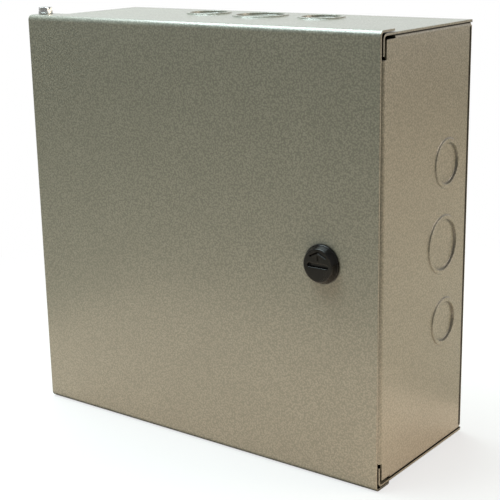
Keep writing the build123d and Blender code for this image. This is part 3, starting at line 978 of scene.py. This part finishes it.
class ENCLOSURE_OT_box(Operator):
    """Folded box in hammered enamel, with the backs of its knockouts and its weld marks"""
    bl_idname = "enclosure.box"
    bl_label = "Box"

    def execute(self, context):
        sheet = context.scene.enclosure_sheet
        paint = "hammered_paint"
        sizes = {"large": (sheet.large_disc, sheet.large_ring),
                 "small": (sheet.small_disc, sheet.small_ring)}
        grooves = []
        for size, (disc, ring) in sizes.items():
            places = knockout_places(sheet, size == "large")
            grooves.append(like_mesh(ring_groove(disc, ring, sheet), places, paint))
            backs = like_mesh(pushed_disc(disc, sheet.disc_step), places, paint)
            dress(size + "_knockout_backs", backs, paint, "enclosure")
        box = softened("enclosure_body", "folded_box", context.scene.enclosure_paint.edge,
                       [*grooves, back_lines(sheet)], in_corner)
        for size, (disc, ring) in sizes.items():
            for place, inwards in knockout_places(sheet, size == "large"):
                slope_ring(box.data, place, inwards, disc, ring, sheet)
        dress("weld_marks", like_mesh(weld_mark(sheet.weld), weld_places(sheet), paint), paint, "enclosure")
        return {"FINISHED"}


class ENCLOSURE_OT_door(Operator):
    """Door sheet in hammered enamel"""
    bl_idname = "enclosure.door"
    bl_label = "Door"

    def execute(self, context):
        softened("door_panel", "door_sheet", context.scene.enclosure_paint.edge)
        return {"FINISHED"}


class ENCLOSURE_OT_latch(Operator):
    """Moulded latch with its pointer, its cam and their fixings"""
    bl_idname = "enclosure.latch"
    bl_label = "Latch"

    def execute(self, context):
        plastic = context.scene.enclosure_plastic
        metal = context.scene.enclosure_metal
        softened("latch_bezel", "latch_housing", plastic.edge)
        softened("latch_knob", "latch_rotor", plastic.knob_edge, [pointer_cutter(plastic)], on_pointer)
        softened("latch_cam", "latch_cam_plate", metal.edge)
        softened("latch_cam_washer", "latch_cam_ring", metal.edge)
        softened("latch_cam_screw", "latch_cam_fixing", metal.edge)
        softened("latch_lock_washer", "latch_lock_ring", metal.edge)
        nut("latch_nut", "latch_barrel_nut", metal.latch_thread, FRONTWARDS)
        return {"FINISHED"}


class ENCLOSURE_OT_pivots(Operator):
    """Screw, pin, washer, spacers and nut that the door swings on"""
    bl_idname = "enclosure.pivots"
    bl_label = "Pivots"

    def execute(self, context):
        metal = context.scene.enclosure_metal
        plastic = context.scene.enclosure_plastic
        thin_edge = 0.3 * plastic.edge
        softened("upper_pivot_screw", "pivot_screw", metal.edge)
        softened("upper_pivot_washer", "pivot_washer", metal.edge)
        softened("lower_pivot_pin", "pivot_pin", metal.edge)
        softened("upper_pivot_spacer", "pivot_spacer_above", thin_edge)
        softened("lower_pivot_spacer", "pivot_spacer_below", thin_edge)
        nut("upper_pivot_nut", "pivot_screw_nut", metal.pivot_thread, UPWARDS)
        return {"FINISHED"}


class ENCLOSURE_OT_panel(Operator):
    """Galvanised mounting panel on its studs"""
    bl_idname = "enclosure.panel"
    bl_label = "Mounting panel"

    def execute(self, context):
        metal = context.scene.enclosure_metal
        softened("mounting_panel", "inner_panel", metal.edge)
        softened("panel_washers", "stud_washers", metal.edge)
        nut_master = nut_mesh("panel_nut", metal.nut_flats, metal.panel_thread, size_of("panel_nuts").y)
        nuts = like_mesh(nut_master, corner_places("panel_nuts", metal.nut_flats))
        dress("stud_nuts", nuts, slot_of("panel_nuts"), "enclosure", "panel_nuts")
        studs = like_mesh(collar_stud(metal), corner_places("panel_studs", metal.collar_flats))
        dress("collar_studs", studs, slot_of("panel_studs"), "enclosure", "panel_studs")
        return {"FINISHED"}


class ENCLOSURE_OT_ground(Operator):
    """Ground stud with its washer and nut"""
    bl_idname = "enclosure.ground"
    bl_label = "Ground stud"

    def execute(self, context):
        metal = context.scene.enclosure_metal
        tooth_edge = 0.5 * metal.edge
        softened("ground_washer", "ground_tooth_washer", tooth_edge)
        nut("ground_nut", "ground_stud_nut", metal.ground_thread, FRONTWARDS)
        seat = middle_of("ground_stud")
        seat.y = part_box("ground_stud")[1].y
        bar = stand(ground_bar(metal), seat, FRONTWARDS)
        dress("ground_bar", bar, slot_of("ground_stud"), "enclosure", "ground_stud")
        return {"FINISHED"}


# Stage

SENSOR_WIDTH = 36.0                 # millimetres
NEAREST_VIEW = 10 * MM
FLOOR_RADIUS = 4.0
FLOOR_DROP = 0.1 * MM               # the floor lies this far under the object
CARD_RISE = 1 * MM                  # the cards lie this far over its underside


def lamp(name, place, aim, size, power, colour):
    """Soft rectangular lamp that shines from its place towards a point, unseen itself."""
    light = bpy.data.lights.new(name, "AREA")
    light.shape = "RECTANGLE"
    light.size, light.size_y = size
    light.energy = power
    light.color = colour
    made = bpy.data.objects.new(name, light)
    made.location = place
    made.rotation_mode = "QUATERNION"
    made.rotation_quaternion = (Vector(place) - Vector(aim)).to_track_quat("Z", "Y")
    made.visible_camera = False
    bpy.context.scene.collection.objects.link(made)


def room():
    """White room to look at, brightest behind the object in reflections, with no other light."""
    world = bpy.data.worlds.new("Room")
    bpy.context.scene.world = world
    world.use_nodes = True
    tree = world.node_tree
    tree.nodes.clear()
    towards = add(tree, "ShaderNodeTexCoord").outputs["Generated"]
    depth = add(tree, "ShaderNodeSeparateXYZ", {"Vector": towards}).outputs["Y"]
    path = tree.nodes.new("ShaderNodeLightPath").outputs
    mirrored = calculate(tree, "MAXIMUM", path["Is Glossy Ray"], path["Is Transmission Ray"])
    brightness = rescale(tree, depth, 0.4, 0.75, source_low=-0.6, source_high=0.2)
    gleam = calculate(tree, "MULTIPLY", mirrored, brightness)
    shown = calculate(tree, "MAXIMUM", path["Is Camera Ray"], gleam)
    white = add(tree, "ShaderNodeBackground", {"Color": (1, 1, 1, 1), "Strength": shown})
    add(tree, "ShaderNodeOutputWorld", {"Surface": white.outputs[0]})


def floor(settings):
    """Pale round floor that fades into the white room."""
    skin = bmesh.new()
    bmesh.ops.create_circle(skin, cap_ends=True, segments=96, radius=FLOOR_RADIUS)
    mesh = mesh_of(skin, "floor")
    mesh.transform(Matrix.Translation((0, 0, cad_low.z - FLOOR_DROP)))
    made = bpy.data.objects.new("floor", mesh)
    bpy.context.scene.collection.objects.link(made)
    surface, tree, shader, place = new_material("Pale floor")
    mesh.materials.append(surface)
    shader.inputs["Roughness"].default_value = 0.9
    cloud = add(tree, "ShaderNodeTexNoise", {"Vector": place, "Scale": 9.0})
    pale = blend(tree, cloud.outputs["Fac"], opaque(settings.floor), opaque(settings.floor, 0.97))
    far = add(tree, "ShaderNodeVectorMath", {0: place}, operation="LENGTH").outputs["Value"]
    seen = tree.nodes.new("ShaderNodeLightPath").outputs["Is Camera Ray"]
    tree.links.new(blend(tree, seen, opaque(settings.bounce), pale), shader.inputs["Base Color"])
    fading = rescale(tree, far, 0.7, 1.0, source_low=0.2, source_high=0.55)
    faded = calculate(tree, "MULTIPLY", fading, seen)
    white = add(tree, "ShaderNodeEmission", {"Color": (1, 1, 1, 1), "Strength": 1.0})
    mixed = add(tree, "ShaderNodeMixShader", {0: faded, 1: shader.outputs[0], 2: white.outputs[0]})
    tree.links.new(mixed.outputs[0], tree.nodes["Material Output"].inputs["Surface"])


def camera(settings):
    data = bpy.data.cameras.new("Camera")
    data.sensor_width = SENSOR_WIDTH
    data.lens = settings.focal_length
    data.clip_start = NEAREST_VIEW
    made = bpy.data.objects.new("Camera", data)
    turn = Matrix.Rotation(settings.camera_yaw, 4, "Z")
    tilt = Matrix.Rotation(pi / 2 - settings.camera_pitch, 4, "X")
    lean = Matrix.Rotation(settings.camera_roll, 4, "Z")
    made.matrix_world = Matrix.Translation(settings.camera_place) @ turn @ tilt @ lean
    bpy.context.scene.collection.objects.link(made)
    bpy.context.scene.camera = made


class ENCLOSURE_OT_stage(Operator):
    """Camera, lamps, white room and pale floor"""
    bl_idname = "enclosure.stage"
    bl_label = "Stage"

    def execute(self, context):
        settings = context.scene.enclosure_stage
        context.scene.view_settings.view_transform = "Standard"
        camera(settings)
        room()
        floor(settings)
        ground = cad_low.z + CARD_RISE
        middle = (cad_low + cad_high) / 2
        lamp("Top lamp", settings.top_place, middle, settings.top_size, settings.top_power,
             settings.top_colour)
        lamp("Side lamp", settings.side_place, middle, settings.side_size, settings.side_power,
             settings.side_colour)
        before = Vector((0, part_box("door_panel")[0].y - settings.card_gap, ground))
        lamp("Front card", before, before + UPWARDS, settings.front_card_size, settings.front_card_power,
             settings.card_colour)
        beside = Vector((SIDE_WALL + settings.card_gap, cad_low.y - settings.side_card_lead, ground))
        lamp("Side card", beside, beside + UPWARDS, settings.side_card_size, settings.side_card_power,
             settings.card_colour)
        return {"FINISHED"}


OPERATORS = (ENCLOSURE_OT_stage, ENCLOSURE_OT_box, ENCLOSURE_OT_door, ENCLOSURE_OT_latch,
             ENCLOSURE_OT_pivots, ENCLOSURE_OT_panel, ENCLOSURE_OT_ground)
SETTINGS = {
    "enclosure_paint": PaintSettings,
    "enclosure_metal": MetalSettings,
    "enclosure_plastic": PlasticSettings,
    "enclosure_sheet": SheetSettings,
    "enclosure_stage": StageSettings,
}


class ENCLOSURE_PT_builder(Panel):
    """Lists the pieces in the order they are made"""
    bl_idname = "ENCLOSURE_PT_builder"
    bl_label = "Enclosure"
    bl_space_type = "VIEW_3D"
    bl_region_type = "UI"
    bl_category = "Enclosure"

    def draw(self, context):
        for operator in OPERATORS:
            self.layout.operator(operator.bl_idname)
        for name, group in SETTINGS.items():
            box = self.layout.box()
            box.label(text=group.__doc__)
            for key in group.__annotations__:
                box.prop(getattr(context.scene, name), key)


def register():
    for group in SETTINGS.values():
        bpy.utils.register_class(group)
    for name, group in SETTINGS.items():
        setattr(bpy.types.Scene, name, PointerProperty(type=group))
    for operator in OPERATORS:
        bpy.utils.register_class(operator)
    bpy.utils.register_class(ENCLOSURE_PT_builder)


def unregister():
    bpy.utils.unregister_class(ENCLOSURE_PT_builder)
    for operator in reversed(OPERATORS):
        bpy.utils.unregister_class(operator)
    for name, group in SETTINGS.items():
        delattr(bpy.types.Scene, name)
        bpy.utils.unregister_class(group)


def main():
    """Registers the settings, operators and panel, and builds every piece."""
    register()
    bpy.ops.enclosure.stage()
    bpy.ops.enclosure.box()
    bpy.ops.enclosure.door()
    bpy.ops.enclosure.latch()
    bpy.ops.enclosure.pivots()
    bpy.ops.enclosure.panel()
    bpy.ops.enclosure.ground()


if __name__ == "__main__":
    main()
